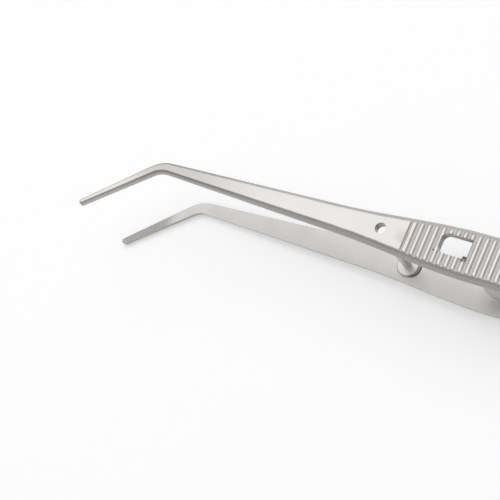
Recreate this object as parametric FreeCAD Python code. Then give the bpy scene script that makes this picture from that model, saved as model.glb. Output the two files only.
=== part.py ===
import FreeCAD, Part
import math
import os
from FreeCAD import Vector

# Locking college pliers, in millimetres.
# Stations are measured along the pliers from the guide hole, positive towards the heel.
# The lower arm lies on its outer face. The upper arm is its mirror image in the middle plane.

# Arm outline, seen from above
heel_station = 90.0
grip_station = 18.0
neck_station = -8.7
bend_station = -46.45
tip_length = 17.35
tip_angle = 40.8
bend_radius = 5.0
heel_width = 7.4
grip_width = 9.0
neck_width = 5.2
bend_width = 2.3
tip_root_width = 1.9
tip_width = 1.2
heel_corner = 2.8

# Arm outline, seen from the side
gap_at_hole = 16.2
half_spread = 0.42
bow_station = 36.0
weld_length = 9.0
kink_radius = 12.0
flex_ahead = 1.8
grip_thickness = 1.75
bend_thickness = 1.2
tip_thickness = 1.1

# Rounded shoulders along the outer face: run at full width and how it falls with the width,
# and share of the thickness
shoulder_run = 1.5
shoulder_power = 0.6
shoulder_share = 0.88

# Cross ribs of the grip, cut as flat-bottomed grooves
rib_pitch = 1.355
rib_count = 22
rib_start = 5.1
groove_width = 0.98
groove_floor = 0.40
groove_depth = 0.19
border_groove_width = 0.62
border_groove_floor = 0.16

# Cross serrations inside the tips
serration_pitch = 0.60
serration_count = 17
serration_width = 0.36
serration_floor = 0.06
serration_depth = 0.09
serration_margin = 0.9

# Window in the upper arm, for the catch
window_centre = 14.1
window_length = 5.7
window_width = 3.7
window_offset = 0.65
window_tip_radius = 1.2
window_heel_radius = 0.3

# Guide pin, riveted into the lower arm
pin_diameter = 1.5
pin_tail_diameter = 1.8
flange_diameter = 4.2
flange_height = 0.55
flange_chamfer = 0.15
hole_clearance = 0.55
pin_fit = 0.02
pin_recess = 0.2

# Catch, a bent spring strip welded to the lower arm
catch_thickness = 0.7
catch_width = 4.4
hook_width = 1.9
hook_thickness = 1.0
catch_foot_length = 7.5
catch_slope = 17.0
catch_bend_radius = 1.4
catch_corner = 1.3
weld_spot_diameter = 1.6
weld_spot_depth = 0.16
weld_spot_spread = 3.2
catch_nose_radius = 3.5
catch_nose_start = 4.4
hook_station = 14.5
hook_height = 12.2
hook_top = 0.5
lip_height = 0.5
lip_clearance = 0.15
lip_lift = 0.12

# Running room
tip_clearance = 0.1
cut_margin = 2.0

# Length of a Bezier curve's handles, as a share of its run, that makes it a quarter of an ellipse
round_handle = 4 / 3 * (math.sqrt(2) - 1)

tip_turn = math.radians(tip_angle)
spread = math.radians(half_spread)
bend_tangent = bend_radius * math.tan(tip_turn / 2)
bend_start = bend_station + bend_tangent
mirror_normal = Vector(math.sin(spread), 0, math.cos(spread))
mirror_point = Vector(0, 0, grip_thickness) + mirror_normal * (gap_at_hole / 2)

# The weld's front edge lies in the middle plane, and the kink and the bow are tangent arcs.
weld_station = heel_station - weld_length
weld_front = Vector(weld_station, 0, mirror_point.z - (weld_station - mirror_point.x) * math.tan(spread))
kink_centre = weld_front - mirror_normal * kink_radius
bow_reach = kink_centre.x - bow_station
kink_rise = kink_centre.z - grip_thickness
bow_radius = (bow_reach ** 2 + kink_rise ** 2 - kink_radius ** 2) / (2 * (kink_rise + kink_radius))
bow_turn = math.atan2(bow_reach, bow_radius - kink_rise)

# The squeeze is taken as a turn about a line just ahead of the weld.
tip_forward = Vector(-math.cos(tip_turn), -math.sin(tip_turn), 0)
tip_side = Vector(-math.sin(tip_turn), math.cos(tip_turn), 0)
tip_end = Vector(bend_station, 0, tip_thickness) + tip_forward * tip_length
dome_reach = tip_length - tip_width / 2
hinge_point = weld_front - Vector(math.cos(spread), 0, -math.sin(spread)) * flex_ahead


def in_middle_plane(point):
    # distance ahead of the hinge, and distance below the middle plane
    offset = point - hinge_point
    ahead = -(offset.x * math.cos(spread) - offset.z * math.sin(spread))
    below = -(offset.x * math.sin(spread) + offset.z * math.cos(spread))
    return ahead, below


tip_ahead, tip_below = in_middle_plane(tip_end)
closing_angle = math.degrees(2 * math.atan2(tip_below, tip_ahead) - tip_clearance / tip_ahead)


def mirrored(point):
    return point - mirror_normal * (2 * (point - mirror_point).dot(mirror_normal))


def when_closed(point):
    # a point of the lower arm's outline, moved to the upper arm and squeezed shut
    turn = FreeCAD.Rotation(Vector(0, 1, 0), -closing_angle)
    return hinge_point + turn.multVec(mirrored(point) - hinge_point)


def between(start, end, share):
    return start + (end - start) * share


def width_at(station):
    if station >= bow_station:
        return between(grip_width, heel_width, (station - bow_station) / (heel_station - bow_station))
    if station >= grip_station:
        return grip_width
    front_slope = (neck_width - bend_width) / (neck_station - bend_start)
    if station <= neck_station:
        return bend_width + front_slope * (station - bend_start)
    length = grip_station - neck_station
    t = (station - neck_station) / length
    flare = neck_width * (2 * t ** 3 - 3 * t ** 2 + 1)
    flare += front_slope * length * (t ** 3 - 2 * t ** 2 + t)
    return flare + grip_width * (3 * t ** 2 - 2 * t ** 3)


def thickness_at(station):
    if station >= neck_station:
        return grip_thickness
    return between(bend_thickness, grip_thickness, (station - bend_start) / (neck_station - bend_start))


def shoulder_poles(width, thickness):
    # the poles of a quarter-round shoulder, each across the arm and below its inner face
    half = width / 2
    run = shoulder_run * (width / grip_width) ** shoulder_power
    rise = thickness * shoulder_share
    wall = thickness - rise
    return [
        (half, wall),
        (half, wall + rise * round_handle),
        (half - run * (1 - round_handle), thickness),
        (half - run, thickness),
    ]


def rounded(poles):
    curve = Part.BezierCurve()
    curve.setPoles(poles)
    return curve


# Cross-section of an arm: a flat inner face, short side walls and quarter-round shoulders
def arm_section(inner, side, outward, width, thickness):
    def at(across, depth):
        return inner + side * across + outward * depth

    poles = shoulder_poles(width, thickness)
    left = [at(across, depth) for across, depth in poles]
    right = [at(-across, depth) for across, depth in reversed(poles)]
    left_foot = at(width / 2, 0)
    right_foot = at(-width / 2, 0)
    edges = [
        Part.LineSegment(right_foot, left_foot),
        Part.LineSegment(left_foot, left[0]),
        rounded(left),
        Part.LineSegment(left[-1], right[0]),
        rounded(right),
        Part.LineSegment(right[-1], right_foot),
    ]
    return Part.Wire([edge.toShape() for edge in edges])


def flat_section(station):
    thickness = thickness_at(station)
    inner = Vector(station, 0, thickness)
    return arm_section(inner, Vector(0, 1, 0), Vector(0, 0, -1), width_at(station), thickness)


def bend_section(turn):
    sideways = bend_radius * (math.cos(turn) - 1)
    inner = Vector(bend_start - bend_radius * math.sin(turn), sideways, bend_thickness)
    side = Vector(-math.sin(turn), math.cos(turn), 0)
    width = between(bend_width, tip_root_width, turn / tip_turn)
    return arm_section(inner, side, Vector(0, 0, -1), width, bend_thickness)


def tip_place(reach):
    # inner face centre and thickness at a distance beyond the corner of the bend
    share = (reach - bend_tangent) / (tip_length - bend_tangent)
    thickness = between(bend_thickness, tip_thickness, share)
    inner = Vector(bend_station, 0, thickness) + tip_forward * reach
    return inner, thickness, between(tip_root_width, tip_width, share)


def tip_section(reach):
    inner, thickness, width = tip_place(reach)
    return arm_section(inner, tip_side, Vector(0, 0, -1), width, thickness)


def sloped_section(inner, slope):
    outward = Vector(math.sin(slope), 0, -math.cos(slope))
    return arm_section(inner, Vector(0, 1, 0), outward, width_at(inner.x), grip_thickness)


def bow_section(slope):
    rise = bow_radius * (1 - math.cos(slope))
    inner = Vector(bow_station + bow_radius * math.sin(slope), 0, grip_thickness + rise)
    return sloped_section(inner, slope)


def kink_section(slope):
    inner = kink_centre + Vector(-math.sin(slope), 0, math.cos(slope)) * kink_radius
    return sloped_section(inner, slope)


def weld_section(length):
    inner = weld_front + Vector(math.cos(spread), 0, -math.sin(spread)) * length
    return sloped_section(inner, -spread)


def steps(start, end, count):
    return [between(start, end, i / count) for i in range(count + 1)]


def span(sections, ruled):
    return Part.makeLoft(sections, True, ruled)


# Lofted faces that lie in a plane are made true planes, such as the face that the pliers lie on
def with_true_planes(solid):
    faces = []
    for face in solid.Faces:
        lofted = not isinstance(face.Surface, Part.Plane)
        plane = face.OuterWire.findPlane() if lofted else None
        faces.append(Part.Face(plane, face.OuterWire) if plane else face)
    return Part.makeSolid(Part.makeShell(faces))


# Waste outside the heel's rounded corners
def heel_waste(end, half, radius):
    tall = gap_at_hole + 2 * cut_margin
    block = Part.makeBox(radius + cut_margin, 2 * (half + cut_margin), tall)
    block.translate(Vector(-radius, -half - cut_margin, -tall / 2))
    kept = Part.makeBox(2 * radius, 2 * (half - radius), tall)
    kept.translate(Vector(-2 * radius, radius - half, -tall / 2))
    rounds = []
    for across in (half - radius, radius - half):
        rounds.append(Part.makeCylinder(radius, tall, Vector(-radius, across, -tall / 2)))
    waste = block.cut([kept] + rounds)
    waste.translate(end)
    return waste


# Domed end of the tip, where the shoulders are carried round
def tip_dome():
    inner, thickness, width = tip_place(dome_reach)
    outer = inner - Vector(0, 0, thickness)
    poles = shoulder_poles(width, thickness)
    shoulder = [inner + tip_side * across - Vector(0, 0, depth) for across, depth in poles]
    foot = inner + tip_side * (width / 2)
    edges = [
        Part.LineSegment(inner, foot),
        Part.LineSegment(foot, shoulder[0]),
        rounded(shoulder),
        Part.LineSegment(shoulder[-1], outer),
        Part.LineSegment(outer, inner),
    ]
    profile = Part.Face(Part.Wire([edge.toShape() for edge in edges]))
    return profile.revolve(inner, Vector(0, 0, 1), 180)


def arm_blank():
    spans = [
        span([weld_section(0), weld_section(weld_length)], True),
        span([kink_section(slope) for slope in steps(bow_turn, -spread, 4)], True),
        span([bow_section(slope) for slope in steps(0, bow_turn, 8)], True),
        span([flat_section(grip_station), flat_section(bow_station)], True),
        span([flat_section(station) for station in steps(neck_station, grip_station, 5)], False),
        span([flat_section(bend_start), flat_section(neck_station)], True),
        span([bend_section(turn) for turn in steps(0, tip_turn, 4)], False),
        span([tip_section(bend_tangent), tip_section(dome_reach)], True),
        tip_dome(),
    ]
    arm = with_true_planes(spans[0].fuse(spans[1:])).removeSplitter()
    heel_end = weld_front + Vector(math.cos(spread), 0, -math.sin(spread)) * weld_length
    heel_half = width_at(heel_station - heel_corner) / 2
    return arm.cut(heel_waste(heel_end, heel_half, heel_corner))


# Flat-bottomed groove with sloping sides, as a bar to be cut away. It widens on past the face.
def groove_bar(centre, side, length, groove, outward):
    width, floor, depth = groove
    along = side.cross(outward)
    flare = (width - floor) / 2 / depth * cut_margin
    top = outward * cut_margin
    bottom = outward * -depth
    corners = [
        along * (-width / 2 - flare) + top,
        along * (-floor / 2) + bottom,
        along * (floor / 2) + bottom,
        along * (width / 2 + flare) + top,
    ]
    start = centre - side * (length / 2)
    outline = Part.makePolygon([start + corner for corner in corners + corners[:1]])
    return Part.Face(outline).extrude(side * length)


def rib_grooves():
    bars = []
    for i in range(rib_count):
        centre = Vector(rib_start + i * rib_pitch, 0, 0)
        full = (groove_width, groove_floor, groove_depth)
        border = (border_groove_width, border_groove_floor, groove_depth)
        groove = full if i > 0 else border
        bars.append(groove_bar(centre, Vector(0, 1, 0), grip_width + cut_margin, groove, Vector(0, 0, -1)))
    return bars


def tip_serrations():
    bars = []
    groove = (serration_width, serration_floor, serration_depth)
    for i in range(serration_count):
        inner = tip_place(tip_length - serration_margin - i * serration_pitch)[0]
        bars.append(groove_bar(inner, tip_side, tip_root_width + cut_margin, groove, Vector(0, 0, 1)))
    return bars


# The grooves are cut one at a time, because one is lost where a border of the blank meets them.
def finished_arm():
    arm = arm_blank()
    for bar in rib_grooves() + tip_serrations():
        arm = arm.cut(bar)
    return arm


def window_cutter():
    tip_side = window_centre - window_length / 2
    heel_side = window_centre + window_length / 2
    half = window_width / 2
    deep = grip_thickness + 2 * cut_margin

    def corner(x, y, radius, from_angle):
        centre = Vector(x, y, -cut_margin)
        start = math.radians(from_angle)
        circle = Part.Circle(centre, Vector(0, 0, 1), radius)
        return Part.ArcOfCircle(circle, start, start + math.pi / 2).toShape()

    arcs = [
        corner(heel_side - window_heel_radius, half - window_heel_radius, window_heel_radius, 0),
        corner(tip_side + window_tip_radius, half - window_tip_radius, window_tip_radius, 90),
        corner(tip_side + window_tip_radius, window_tip_radius - half, window_tip_radius, 180),
        corner(heel_side - window_heel_radius, window_heel_radius - half, window_heel_radius, 270),
    ]
    edges = []
    for i, arc in enumerate(arcs):
        following = arcs[(i + 1) % len(arcs)]
        edges.append(arc)
        edges.append(Part.LineSegment(arc.lastVertex().Point, following.firstVertex().Point).toShape())
    cutter = Part.Face(Part.Wire(edges)).extrude(Vector(0, 0, deep))
    cutter.translate(Vector(0, window_offset, 0))
    return cutter


# Where the guide hole lands when the pliers are shut decides where the pin stands and ends.
hole_shut_inner = when_closed(Vector(0, 0, grip_thickness))
hole_shut_outer = when_closed(Vector(0, 0, 0))
pin_station = (hole_shut_inner.x + hole_shut_outer.x) / 2
pin_top = hole_shut_outer.z - pin_recess
hole_radius = (pin_diameter + hole_clearance) / 2


def upper_arm():
    deep = grip_thickness + 2 * cut_margin
    hole = Part.makeCylinder(hole_radius, deep, Vector(0, 0, -cut_margin))
    return finished_arm().cut([hole, window_cutter()]).mirror(mirror_point, mirror_normal)


def lower_arm():
    radius = pin_tail_diameter / 2 + pin_fit
    seat = Part.makeCylinder(radius, grip_thickness + 2 * cut_margin, Vector(pin_station, 0, -cut_margin))
    return finished_arm().cut(seat)


def guide_pin():
    shank = pin_diameter / 2
    tail = pin_tail_diameter / 2
    flange = flange_diameter / 2
    flange_top = grip_thickness + flange_height
    outline = [
        Vector(0, 0, 0),
        Vector(tail, 0, 0),
        Vector(tail, 0, grip_thickness),
        Vector(flange, 0, grip_thickness),
        Vector(flange, 0, flange_top - flange_chamfer),
        Vector(flange - flange_chamfer, 0, flange_top),
        Vector(shank, 0, flange_top),
        Vector(shank, 0, pin_top - shank),
    ]
    edges = [Part.LineSegment(a, b).toShape() for a, b in zip(outline, outline[1:])]
    dome_side = Vector(shank * math.sin(math.pi / 4), 0, pin_top - shank + shank * math.cos(math.pi / 4))
    edges.append(Part.Arc(outline[-1], dome_side, Vector(0, 0, pin_top)).toShape())
    edges.append(Part.LineSegment(Vector(0, 0, pin_top), outline[0]).toShape())
    pin = Part.Face(Part.Wire(edges)).revolve(Vector(0, 0, 0), Vector(0, 0, 1), 360)
    pin.translate(Vector(pin_station, 0, 0))
    return pin


# The lip stops just short of the window's heel edge as that edge comes down past it.
window_edge_shut = when_closed(Vector(window_centre + window_length / 2, 0, 0))
lip_reach = window_edge_shut.x - lip_clearance
lip_bottom = window_edge_shut.z + lip_lift
hook_tip_face = hook_station - hook_thickness / 2
hook_heel_face = hook_station + hook_thickness / 2
foot_front = bow_station - catch_foot_length


def side_prism(points, width):
    corners = points + [points[0]]
    edges = [Part.LineSegment(a, b).toShape() for a, b in zip(corners, corners[1:])]
    face = Part.Face(Part.Wire(edges))
    face.translate(Vector(0, -width / 2, 0))
    return face.extrude(Vector(0, width, 0))


def catch_side():
    # side view of the strip: foot, rising leaf and upright hook
    base = grip_thickness
    slope = math.tan(math.radians(catch_slope))
    lift = catch_thickness / math.cos(math.radians(catch_slope))
    heel = bow_station

    def under(x):
        return base + (foot_front - x) * slope

    mitre = catch_thickness * math.tan(math.radians(catch_slope) / 2)
    top = base + hook_height
    outline = [
        Vector(heel, 0, base),
        Vector(foot_front, 0, base),
        Vector(hook_tip_face, 0, under(hook_tip_face)),
        Vector(hook_tip_face, 0, top),
        Vector(hook_tip_face + hook_top, 0, top),
        Vector(lip_reach, 0, lip_bottom + lip_height),
        Vector(lip_reach, 0, lip_bottom),
        Vector(hook_heel_face, 0, lip_bottom),
        Vector(hook_heel_face, 0, under(hook_heel_face) + lift),
        Vector(foot_front + mitre, 0, base + catch_thickness),
        Vector(heel, 0, base + catch_thickness),
    ]
    strip = side_prism(outline, catch_width)
    outer = [edge for edge in strip.Edges if is_cross_edge(edge, outline[2])]
    strip = strip.makeFillet(catch_bend_radius, outer)
    inner = [edge for edge in strip.Edges if is_cross_edge(edge, outline[8])]
    return strip.makeFillet(catch_bend_radius - hook_thickness / 2, inner)


def is_cross_edge(edge, point):
    centre = edge.BoundBox.Center
    return abs(centre.x - point.x) < 0.001 and abs(centre.z - point.z) < 0.001


def catch_plan():
    # plan view of the strip: rounded foot, parallel sides, round nose and narrow hook
    half = catch_width / 2
    narrow = hook_width / 2
    heel = bow_station
    nose = hook_station + catch_nose_start
    sink = catch_nose_radius - half
    neck = nose - math.sqrt(catch_nose_radius ** 2 - (narrow + sink) ** 2)
    turn = math.asin((nose - neck) / catch_nose_radius) / 2
    front = hook_tip_face - cut_margin
    arc_side = catch_nose_radius * math.cos(turn) - sink
    arc_x = nose - catch_nose_radius * math.sin(turn)
    cut = catch_corner * (1 - math.sqrt(0.5))
    foot = heel - catch_corner
    side = half - catch_corner
    edges = [
        Part.LineSegment(Vector(front, -narrow, 0), Vector(neck, -narrow, 0)),
        Part.Arc(Vector(neck, -narrow, 0), Vector(arc_x, -arc_side, 0), Vector(nose, -half, 0)),
        Part.LineSegment(Vector(nose, -half, 0), Vector(foot, -half, 0)),
        Part.Arc(Vector(foot, -half, 0), Vector(heel - cut, cut - half, 0), Vector(heel, -side, 0)),
        Part.LineSegment(Vector(heel, -side, 0), Vector(heel, side, 0)),
        Part.Arc(Vector(heel, side, 0), Vector(heel - cut, half - cut, 0), Vector(foot, half, 0)),
        Part.LineSegment(Vector(foot, half, 0), Vector(nose, half, 0)),
        Part.Arc(Vector(nose, half, 0), Vector(arc_x, arc_side, 0), Vector(neck, narrow, 0)),
        Part.LineSegment(Vector(neck, narrow, 0), Vector(front, narrow, 0)),
        Part.LineSegment(Vector(front, narrow, 0), Vector(front, -narrow, 0)),
    ]
    face = Part.Face(Part.Wire([edge.toShape() for edge in edges]))
    return face.extrude(Vector(0, 0, gap_at_hole + cut_margin))


# Two shallow round dints where the foot is spot-welded down
def weld_spots():
    radius = (weld_spot_diameter ** 2 / 4 + weld_spot_depth ** 2) / (2 * weld_spot_depth)
    top = grip_thickness + catch_thickness
    middle = bow_station - catch_foot_length / 2
    spots = []
    for along in (-weld_spot_spread / 2, weld_spot_spread / 2):
        spots.append(Part.makeSphere(radius, Vector(middle + along, 0, top + radius - weld_spot_depth)))
    return spots


def lock_catch():
    return catch_side().common(catch_plan()).cut(weld_spots())


parts = {
    "lower_arm": lower_arm(),
    "upper_arm": upper_arm(),
    "guide_pin": guide_pin(),
    "lock_catch": lock_catch(),
}

# The origin is the centre of the base of the whole pliers' box.
box = Part.makeCompound(list(parts.values())).optimalBoundingBox(False, False)
origin = Vector(box.Center.x, box.Center.y, 0)
os.makedirs("parts", exist_ok=True)
for node, shape in parts.items():
    shape.translate(origin * -1)
    solid = shape.Solids[0] if len(shape.Solids) == 1 else shape
    solid.exportStep("parts/" + node + ".step")
    print(node, len(shape.Solids), "solid", round(shape.Volume, 2), "mm3, valid", shape.isValid())


def shown(point):
    return [round(value, 4) for value in (point.x - origin.x, point.y - origin.y, point.z)]


print("box", [round(v, 3) for v in (box.XLength, box.YLength, box.ZMin, box.ZMax)])
print("guide hole station at", shown(Vector(0, 0, 0)))
print("squeeze line at", shown(hinge_point), "closing angle", round(closing_angle, 3))
print("catch bend line at", shown(Vector(foot_front, 0, grip_thickness)))
print("bow radius", round(bow_radius, 2), "slope at the heel", round(math.degrees(bow_turn), 2))
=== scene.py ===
import math

import bmesh
import bpy
from mathutils import Euler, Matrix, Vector


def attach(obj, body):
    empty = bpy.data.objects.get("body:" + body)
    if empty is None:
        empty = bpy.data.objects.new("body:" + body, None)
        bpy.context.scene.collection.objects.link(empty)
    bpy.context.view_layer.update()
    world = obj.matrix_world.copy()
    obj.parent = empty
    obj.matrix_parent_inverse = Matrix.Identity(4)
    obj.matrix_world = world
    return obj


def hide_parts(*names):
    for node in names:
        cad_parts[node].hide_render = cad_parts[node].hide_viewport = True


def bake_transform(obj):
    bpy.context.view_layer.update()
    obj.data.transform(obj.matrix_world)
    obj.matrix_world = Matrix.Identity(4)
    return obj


# Looks of the locking college pliers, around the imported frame. Sizes are in metres.
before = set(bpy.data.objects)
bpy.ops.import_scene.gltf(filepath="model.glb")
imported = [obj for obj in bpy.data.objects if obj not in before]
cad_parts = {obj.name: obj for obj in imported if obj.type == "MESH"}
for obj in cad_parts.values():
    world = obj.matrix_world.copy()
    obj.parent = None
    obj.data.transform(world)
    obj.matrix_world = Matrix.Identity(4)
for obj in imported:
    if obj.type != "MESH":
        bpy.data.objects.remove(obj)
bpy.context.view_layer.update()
scene = bpy.context.scene
mm = 0.001
print("frame loaded:", ", ".join(sorted(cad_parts)))


# Shader maths

class Wire:
    # a shader socket that can be added, multiplied and so on
    def __init__(self, tree, socket=None):
        self.tree = tree
        self.socket = socket

    def node(self, kind, settings=None, inputs=None, out=0):
        made = self.tree.nodes.new("ShaderNode" + kind)
        for name, value in (settings or {}).items():
            setattr(made, name, value)
        for name, value in (inputs or {}).items():
            if isinstance(value, Wire):
                self.tree.links.new(value.socket, made.inputs[name])
            else:
                made.inputs[name].default_value = value
        return Wire(self.tree, made.outputs[out])

    def beside(self, out):
        # another output of the same node
        return Wire(self.tree, self.socket.node.outputs[out])

    def maths(self, operation, first, second):
        return self.node("Math", {"operation": operation}, {0: first, 1: second})

    def __add__(self, other):
        return self.maths("ADD", self, other)

    def __radd__(self, other):
        return self.maths("ADD", other, self)

    def __sub__(self, other):
        return self.maths("SUBTRACT", self, other)

    def __rsub__(self, other):
        return self.maths("SUBTRACT", other, self)

    def __mul__(self, other):
        return self.maths("MULTIPLY", self, other)

    def __rmul__(self, other):
        return self.maths("MULTIPLY", other, self)

    def __abs__(self):
        return self.maths("ABSOLUTE", self, 0.0)

    def vector(self, operation, other=(0, 0, 0), out="Value"):
        return self.node("VectorMath", {"operation": operation}, {0: self, 1: other}, out)

    def axis(self, letter):
        return self.node("SeparateXYZ", None, {0: self}, letter)

    def ramp(self, low, high):
        # 0 below low, 1 above high, smooth between
        settings = {"interpolation_type": "SMOOTHSTEP"}
        return self.node("MapRange", settings, {"Value": self, "From Min": low, "From Max": high})

    def tint(self, base, other):
        # base colour where this is 0, the other where it is 1
        settings = {"data_type": "RGBA"}
        return self.node("Mix", settings, {0: self, 6: base, 7: other}, out=2)


def grey(value, warmth=0.0):
    return (value * (1 + warmth), value, value * (1 - warmth), 1.0)


def newMaterial(name):
    material = bpy.data.materials.new(name)
    material.use_nodes = True
    material.node_tree.nodes.clear()
    return material, Wire(material.node_tree)


def finishMaterial(material, surface):
    output = material.node_tree.nodes.new("ShaderNodeOutputMaterial")
    material.node_tree.links.new(surface.socket, output.inputs["Surface"])
    return material


# Steel finishes. Runs and ends are places along x. A tone is a share of the steel's colour, with its
# warmth. Facings say how squarely a surface faces some way, from -1 to 1.

steelLook = {
    "colour": 0.59,
    "warmth": 0.034,
    "cloud": 0.045,                     # how far the satin drifts lighter and darker
    "cloudWarmth": 0.2,                 # share of the warmth that the darker satin has
    "cloudEdges": (0.30, 0.70),
    "cloudNoise": (160.0, 4.0, 0.55),   # scale, detail and roughness
    "lineStretch": (260.0, 6200.0, 6200.0),     # fine brushed lines run along the arm
    "lineNoise": (1.0, 3.0, 0.6),
    "speckNoise": (5200.0, 2.0, 0.7),
    "speckRelief": 0.35,
    "grain": 0.10,                      # strength and depth of the brushed lines in the bump
    "grainDepth": 0.02 * mm,
    "roughness": 0.33,
    "roughnessDrift": 0.07,

    "grooveDarkening": 0.62,                 # the floors of the cross grooves
    "grooveTone": (0.62, 0.02),
    "grooveRise": 0.12,
    "grooveTop": (0.09 * mm, 0.17 * mm),
    "grooveFloor": (0.33 * mm, 0.42 * mm),
    "grooveFacing": (0.90, 0.98),
    "grooveEnd": (20.0 * mm, 20.4 * mm),        # no dirt on the bow behind the grip

    "innerColourAndPaintedLight": (0.585, 0.70),       # inside the arms towards the tips, and painted lighter towards the grip as painted light
    "innerRun": (-45 * mm, 15 * mm),
    "innerWarmth": 0.5,
    "innerFacing": (0.80, 0.97),
    "mattRise": 0.12,
    "tipShade": 0.08,                   # the inside of the tips
    "tipTone": (0.5, 0.02),
    "tipRise": 0.26,
    "tipEnd": (-68 * mm, -65 * mm),
    "tipFacing": (0.0, 0.3),
    "bendShade": 0.45,                  # the outside of the bend
    "bendTone": (0.55, 0.03),
    "bendFromTip": (-68 * mm, -62 * mm),
    "bendToGrip": (-56 * mm, -38 * mm),
    "bendFacing": (-0.5, 0.0),

    "wallShade": 0.58,                  # painted shade on the side walls, darker than the faces
    "wallTone": (0.35, 0.02),
    "wallRise": 0.12,
    "wallFacing": (0.42, 0.72),
    "wallSide": (0.5, -0.87, 0),        # walls that face this way, away from the light, have all of the painted shade
    "wallSideFacing": (-0.2, 0.4),
    "wallKeep": 0.55,                   # and the others this share
    "wallRun": (-64 * mm, -26 * mm),
    "wallTipKeep": 0.50,                # and the walls of the thin end this share
    "shoulderShade": 0.26,              # painted shade on the rounded shoulders
    "shoulderTone": (0.35, 0.03),
    "shoulderFacing": (0.20, 0.55),
}


def noise(sheet, where, settings):
    scale, detail, roughness = settings
    inputs = {"Vector": where, "Scale": scale, "Detail": detail, "Roughness": roughness}
    return sheet.node("TexNoise", None, inputs)


def toneOf(look, tone):
    share, warmth = tone
    return grey(look["colour"] * share, warmth)


def darkerGrooveFloors(colour, rough, look, place, facing, plane):
    # the groove floors are painted darker: deep enough under the arm's outer face, on a floor that faces
    # outwards
    point, normal = plane
    depth = point.dot(normal) - place.vector("DOT_PRODUCT", normal)
    sunk = depth.ramp(*look["grooveTop"]) * (1 - depth.ramp(*look["grooveFloor"]))
    sunk = sunk * facing.vector("DOT_PRODUCT", normal).ramp(*look["grooveFacing"])
    sunk = sunk * (1 - place.axis("X").ramp(*look["grooveEnd"]))
    colour = (sunk * look["grooveDarkening"]).tint(colour, toneOf(look, look["grooveTone"]))
    return colour, rough + sunk * look["grooveRise"]


def mattInside(colour, rough, look, place, facing, normal):
    # the inner face is rougher, and painted light makes it lighter towards the grip
    length = place.axis("X")
    inward = facing.vector("DOT_PRODUCT", normal)
    matt = inward.ramp(*look["innerFacing"])
    tipward, gripward = [grey(value, look["warmth"] * look["innerWarmth"]) for value in look["innerColourAndPaintedLight"]]
    colour = matt.tint(colour, length.ramp(*look["innerRun"]).tint(tipward, gripward))
    rough = rough + matt * look["mattRise"]
    atTip = (1 - length.ramp(*look["tipEnd"])) * inward.ramp(*look["tipFacing"])
    colour = (atTip * look["tipShade"]).tint(colour, toneOf(look, look["tipTone"]))
    rough = rough + atTip * look["tipRise"]
    atBend = (1 - length.ramp(*look["bendToGrip"])) * length.ramp(*look["bendFromTip"])
    atBend = atBend * (1 - inward.ramp(*look["bendFacing"]))
    colour = (atBend * look["bendShade"]).tint(colour, toneOf(look, look["bendTone"]))
    return colour, rough


def shadedSides(colour, rough, look, place, facing):
    # painted shade on the side walls and the shoulders, most on walls that face away from the light
    sideways = facing.vector("DOT_PRODUCT", look["wallSide"]).ramp(*look["wallSideFacing"])
    gripward = place.axis("X").ramp(*look["wallRun"])
    upright = 1 - abs(facing.axis("Z")).ramp(*look["wallFacing"])
    upright = upright * (look["wallKeep"] + sideways * (1 - look["wallKeep"]))
    upright = upright * (look["wallTipKeep"] + gripward * (1 - look["wallTipKeep"]))
    lean = abs(facing.axis("Y")).ramp(*look["shoulderFacing"]) * (1 - upright)
    colour = (lean * look["shoulderShade"]).tint(colour, toneOf(look, look["shoulderTone"]))
    colour = (upright * look["wallShade"]).tint(colour, toneOf(look, look["wallTone"]))
    return colour, rough + upright * look["wallRise"]


# dark brown for the rust spots, and for the painted shade on the hook
rustAndShadeBrown = (0.09, 0.055, 0.04, 1.0)
warmStain = (0.60, 0.52, 0.44, 1.0)

# rust, stains and the painted shade on the hook: how ragged their edge is, where it starts, and how much
# rougher they are
spotEdge = {"ragged": 0.9, "core": 0.45, "rise": 0.3}
cornerMark = {"middle": (1.45, 2.35, 19.4), "radius": 0.85 * mm, "colour": rustAndShadeBrown, "strength": 0.6}
groovePit = {"middle": (-4.31, 2.49, 19.4), "radius": 0.22 * mm, "colour": rustAndShadeBrown, "strength": 0.9}
ribStain = {"middle": (-10.6, 3.2, 19.6), "radius": 1.7 * mm, "colour": warmStain, "strength": 0.35}
# painted shade on the top of the hook, which stands under the upper arm
hookPaintedShade = {"middle": (-0.2, 3.5, 13.8), "radius": 3.2 * mm, "colour": rustAndShadeBrown, "strength": 0.8}

# painted shadow on the arm in the corner under the side of the pin's flange away from the light, and painted
# shade on the flange's rim there, across shares of its radius
flangePaintedShadow = {
    "middle": (-15.13, 3.53, 1.75),
    "radius": 2.1 * mm,
    "colour": (0.075, 0.055, 0.04, 1.0),
    "inside": (0.82, 0.92),
    "outside": (1.0, 1.09),
    "side": (0.955, -0.30, 0),
    "across": (0.3, 0.95),
    "foot": (-0.6 * mm, -0.2 * mm),
    "rise": 0.3,
    "armStrength": 0.80,
    "pinStrength": 0.99,
}


def spotted(colour, rough, place, speck, spots):
    for spot in spots:
        radius = spot["radius"]
        distance = place.vector("DISTANCE", Vector(spot["middle"]) * mm)
        ragged = distance + (speck - 0.5) * (radius * spotEdge["ragged"])
        inside = (1 - ragged.ramp(radius * spotEdge["core"], radius)) * spot["strength"]
        colour = inside.tint(colour, spot["colour"])
        rough = rough + inside * spotEdge["rise"]
    return colour, rough


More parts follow.
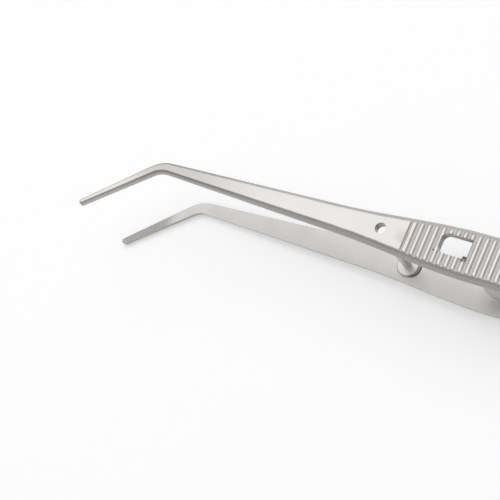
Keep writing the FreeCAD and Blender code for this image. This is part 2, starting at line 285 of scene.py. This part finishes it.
# painted shade and shadow at the foot of the pin's flange, on the side away from the light
def paintedRimShadow(colour, rough, place, rim, strength):
    out = place.vector("SUBTRACT", Vector(rim["middle"]) * mm, "Vector")
    flat = out.vector("MULTIPLY", (1, 1, 0), "Vector")
    reach = flat.vector("LENGTH")
    parts = (rim["inside"], rim["outside"], rim["across"])
    inside, outside, across = [[rim["radius"] * share for share in part] for part in parts]
    shadowed = reach.ramp(*inside) * (1 - reach.ramp(*outside))
    shadowed = shadowed * flat.vector("DOT_PRODUCT", rim["side"]).ramp(*across)
    shadowed = shadowed * out.axis("Z").ramp(*rim["foot"])
    colour = (shadowed * strength).tint(colour, rim["colour"])
    return colour, rough + shadowed * rim["rise"]


def satinSteel(name, look, groovePlane=None, innerNormal=None, spots=(), rimStrength=None):
    material, sheet = newMaterial(name)
    place = sheet.node("Attribute", {"attribute_name": "restPlace"}, out="Vector")
    facing = sheet.node("TexCoord", out="Normal")
    along = sheet.node("Mapping", None, {"Vector": place, "Scale": look["lineStretch"]})
    cloud = noise(sheet, place, look["cloudNoise"]).ramp(*look["cloudEdges"])
    lines = noise(sheet, along, look["lineNoise"])
    speck = noise(sheet, place, look["speckNoise"])
    light = grey(look["colour"] * (1 + look["cloud"]), look["warmth"])
    dark = grey(look["colour"] * (1 - look["cloud"]), look["warmth"] * look["cloudWarmth"])
    drift = look["roughnessDrift"]
    colour = cloud.tint(dark, light)
    rough = look["roughness"] + (cloud - 0.5) * drift + (lines - 0.5) * drift
    if groovePlane:
        colour, rough = darkerGrooveFloors(colour, rough, look, place, facing, groovePlane)
    if innerNormal:
        colour, rough = mattInside(colour, rough, look, place, facing, innerNormal)
    colour, rough = shadedSides(colour, rough, look, place, facing)
    colour, rough = spotted(colour, rough, place, speck, spots)
    # painted shade and shadow around the pin's flange
    if rimStrength:
        colour, rough = paintedRimShadow(colour, rough, place, flangePaintedShadow, rimStrength)
    relief = lines + speck * look["speckRelief"]
    settings = {"Height": relief, "Strength": look["grain"], "Distance": look["grainDepth"]}
    bump = sheet.node("Bump", None, settings, out="Normal")
    surface = sheet.node("BsdfPrincipled", None, {
        "Base Color": colour, "Metallic": 1.0, "Roughness": rough, "Normal": bump,
    })
    return finishMaterial(material, surface)


# The upper arm's outer face is the lower arm's turned over in the middle plane between them.
armPlan = {
    "holeX": -15.1347 * mm,
    "flat": 1.75 * mm,
    "spread": math.radians(0.42),
    "gap": 16.2 * mm,
}
middleNormal = Vector((math.sin(armPlan["spread"]), 0, math.cos(armPlan["spread"])))
middlePoint = Vector((armPlan["holeX"], 0, armPlan["flat"])) + middleNormal * (armPlan["gap"] / 2)


def mirroredInMiddle(point):
    return point - middleNormal * (2 * (point - middlePoint).dot(middleNormal))


up = Vector((0, 0, 1))
origin = Vector((0, 0, 0))
upperOuterPoint = mirroredInMiddle(Vector((armPlan["holeX"], 0, 0)))
upperOuterNormal = mirroredInMiddle(-up) - mirroredInMiddle(origin)
upperOuter = (upperOuterPoint, upperOuterNormal)
lowerOuter = (origin, -up)

upperSteel = satinSteel(
    "upperArmSteel", steelLook, upperOuter, -upperOuterNormal, (cornerMark, groovePit, ribStain))
lowerSteel = satinSteel(
    "lowerArmSteel", steelLook, lowerOuter, up, rimStrength=flangePaintedShadow["armStrength"])
# the pin's steel is painted lighter than the arms' as painted light, where it mirrors the dark underside of
# the upper arm, and its walls get little painted shade
pinLook = dict(steelLook, colour=0.67, roughness=0.36, cloud=0.06, wallShade=0.1)
pinSteel = satinSteel("pinSteel", pinLook, rimStrength=flangePaintedShadow["pinStrength"])
catchLook = dict(steelLook, colour=0.66, roughness=0.32, warmth=0.02)
# the catch's finish carries painted shade on the hook's top
catchSteel = satinSteel("catchSteel", catchLook, spots=(hookPaintedShade,))
print("finishes made")


# Steel pieces, from merged copies of the frame's solids with their edges broken

armLook = {"merge": 1e-6, "flatWithin": 0.4, "edge": 0.07 * mm, "segments": 2, "sharpOver": 32, "weight": 100}
smallLook = dict(armLook, edge=0.05 * mm)


def steelPiece(node, name, look, material):
    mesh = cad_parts[node].data.copy()
    piece = bpy.data.objects.new(name, mesh)
    scene.collection.objects.link(piece)
    mesh.materials.clear()
    mesh.materials.append(material)
    work = bmesh.new()
    work.from_mesh(mesh)
    bmesh.ops.remove_doubles(work, verts=work.verts, dist=look["merge"])
    flatAngle = math.radians(look["flatWithin"])
    bmesh.ops.dissolve_limit(work, angle_limit=flatAngle, verts=work.verts, edges=work.edges)
    for face in work.faces:
        face.smooth = True
        face.material_index = 0
    work.to_mesh(mesh)
    work.free()
    breaker = piece.modifiers.new("edgeBreak", "BEVEL")
    breaker.width = look["edge"]
    breaker.segments = look["segments"]
    breaker.limit_method = "ANGLE"
    breaker.angle_limit = math.radians(look["sharpOver"])
    # large flats keep their own direction, so that only the broken edges and the shoulders turn the light
    levelled = piece.modifiers.new("levelledNormals", "WEIGHTED_NORMAL")
    levelled.weight = look["weight"]
    levelled.mode = "FACE_AREA_WITH_ANGLE"
    plain = bpy.data.meshes.new_from_object(piece.evaluated_get(bpy.context.evaluated_depsgraph_get()))
    piece.modifiers.clear()
    piece.data = plain
    plain.name = name
    # the finish reads this, so that it follows the steel when the piece bends
    restPlace = plain.attributes.new("restPlace", "FLOAT_VECTOR", "POINT")
    restPlace.data.foreach_set("vector", [number for point in plain.vertices for number in point.co])
    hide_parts(node)
    return piece


upperArm = steelPiece("upper_arm", "upperArm", armLook, upperSteel)
lowerArm = steelPiece("lower_arm", "lowerArm", armLook, lowerSteel)
guidePin = steelPiece("guide_pin", "guidePin", smallLook, pinSteel)
lockCatch = steelPiece("lock_catch", "lockCatch", smallLook, catchSteel)
slots = (
    (upperArm, "arm_steel"),
    (lowerArm, "arm_steel"),
    (guidePin, "pin_steel"),
    (lockCatch, "catch_steel"),
)
for piece, slotName in slots:
    print("made", piece.name, len(piece.data.polygons), "faces")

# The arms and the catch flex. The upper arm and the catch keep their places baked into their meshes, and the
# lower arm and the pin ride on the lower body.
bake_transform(upperArm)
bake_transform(lockCatch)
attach(lowerArm, "lower")
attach(guidePin, "lower")
print("pieces ride on their bodies")


# Pale floor, soft light and the camera

studio = {
    "floorReach": 1.6,
    "floorDrop": 0.03 * mm,
    "floorColour": 0.86,
    "floorLift": 0.288,         # added for what the camera and the steel see
    "backdropPlace": 0.70,
    "backdropRise": 0.60,
    "room": 0.50,
    "boxPlace": (-0.14, 0.13, 0.63),
    "boxSize": 0.80,
    "boxWatts": 2.0,
    "cameraPlace": (0.123832, -0.082557, 0.300228),
    "cameraTurn": (24.4090, 21.9210, 25.3828),
    "cameraLens": 134.37,
    "cameraSensor": 36,
    "cameraNear": 0.01,
}


def palePaper():
    material, sheet = newMaterial("palePaper")
    seen = sheet.node("LightPath", out="Is Camera Ray")
    lift = (seen + seen.beside("Is Glossy Ray") + seen.beside("Is Transmission Ray")) * studio["floorLift"]
    paper = sheet.node("BsdfDiffuse", None, {"Color": grey(studio["floorColour"])})
    glow = sheet.node("Emission", None, {"Color": grey(1.0), "Strength": lift})
    return finishMaterial(material, sheet.node("AddShader", None, {0: paper, 1: glow}))


def paperSheet(name, corners, material):
    mesh = bpy.data.meshes.new(name)
    mesh.from_pydata(corners, [], [(0, 1, 2, 3)])
    mesh.materials.append(material)
    sheet = bpy.data.objects.new(name, mesh)
    scene.collection.objects.link(sheet)
    return sheet


def makeFloor():
    paper = palePaper()
    reach = studio["floorReach"]
    low = -studio["floorDrop"]
    corners = [(-reach, -reach, low), (reach, -reach, low), (reach, reach, low), (-reach, reach, low)]
    floor = paperSheet("paleFloor", corners, paper)
    # the paper goes up behind the pliers, out of the photo's view, for the steel to mirror
    back = studio["backdropPlace"]
    rise = studio["backdropRise"]
    corners = [(-reach, back, 0), (reach, back, 0), (reach, back, rise), (-reach, back, rise)]
    backdrop = paperSheet("paleBackdrop", corners, paper)


def makeRoom():
    # white for the camera, dimmer for the light it gives
    world = bpy.data.worlds.new("softRoom")
    world.use_nodes = True
    world.node_tree.nodes.clear()
    sheet = Wire(world.node_tree)
    seen = sheet.node("LightPath", out="Is Camera Ray")
    strength = studio["room"] + seen * (1 - studio["room"])
    glow = sheet.node("Background", None, {"Color": grey(1.0), "Strength": strength})
    output = world.node_tree.nodes.new("ShaderNodeOutputWorld")
    world.node_tree.links.new(glow.socket, output.inputs["Surface"])
    scene.world = world


def makeSoftBox():
    lamp = bpy.data.lights.new("softBox", "AREA")
    lamp.shape = "SQUARE"
    lamp.size = studio["boxSize"]
    lamp.energy = studio["boxWatts"]
    box = bpy.data.objects.new("softBox", lamp)
    box.location = studio["boxPlace"]
    box.rotation_euler = (-Vector(studio["boxPlace"])).to_track_quat("-Z", "Y").to_euler()
    scene.collection.objects.link(box)


def makeCamera():
    lens = bpy.data.cameras.new("photoCamera")
    lens.sensor_width = studio["cameraSensor"]
    lens.lens = studio["cameraLens"]
    lens.clip_start = studio["cameraNear"]
    camera = bpy.data.objects.new("photoCamera", lens)
    camera.location = studio["cameraPlace"]
    camera.rotation_euler = Euler([math.radians(angle) for angle in studio["cameraTurn"]])
    scene.collection.objects.link(camera)
    scene.camera = camera


makeFloor()
makeRoom()
makeSoftBox()
makeCamera()
scene.view_settings.view_transform = "Standard"
print("floor, light and camera set")
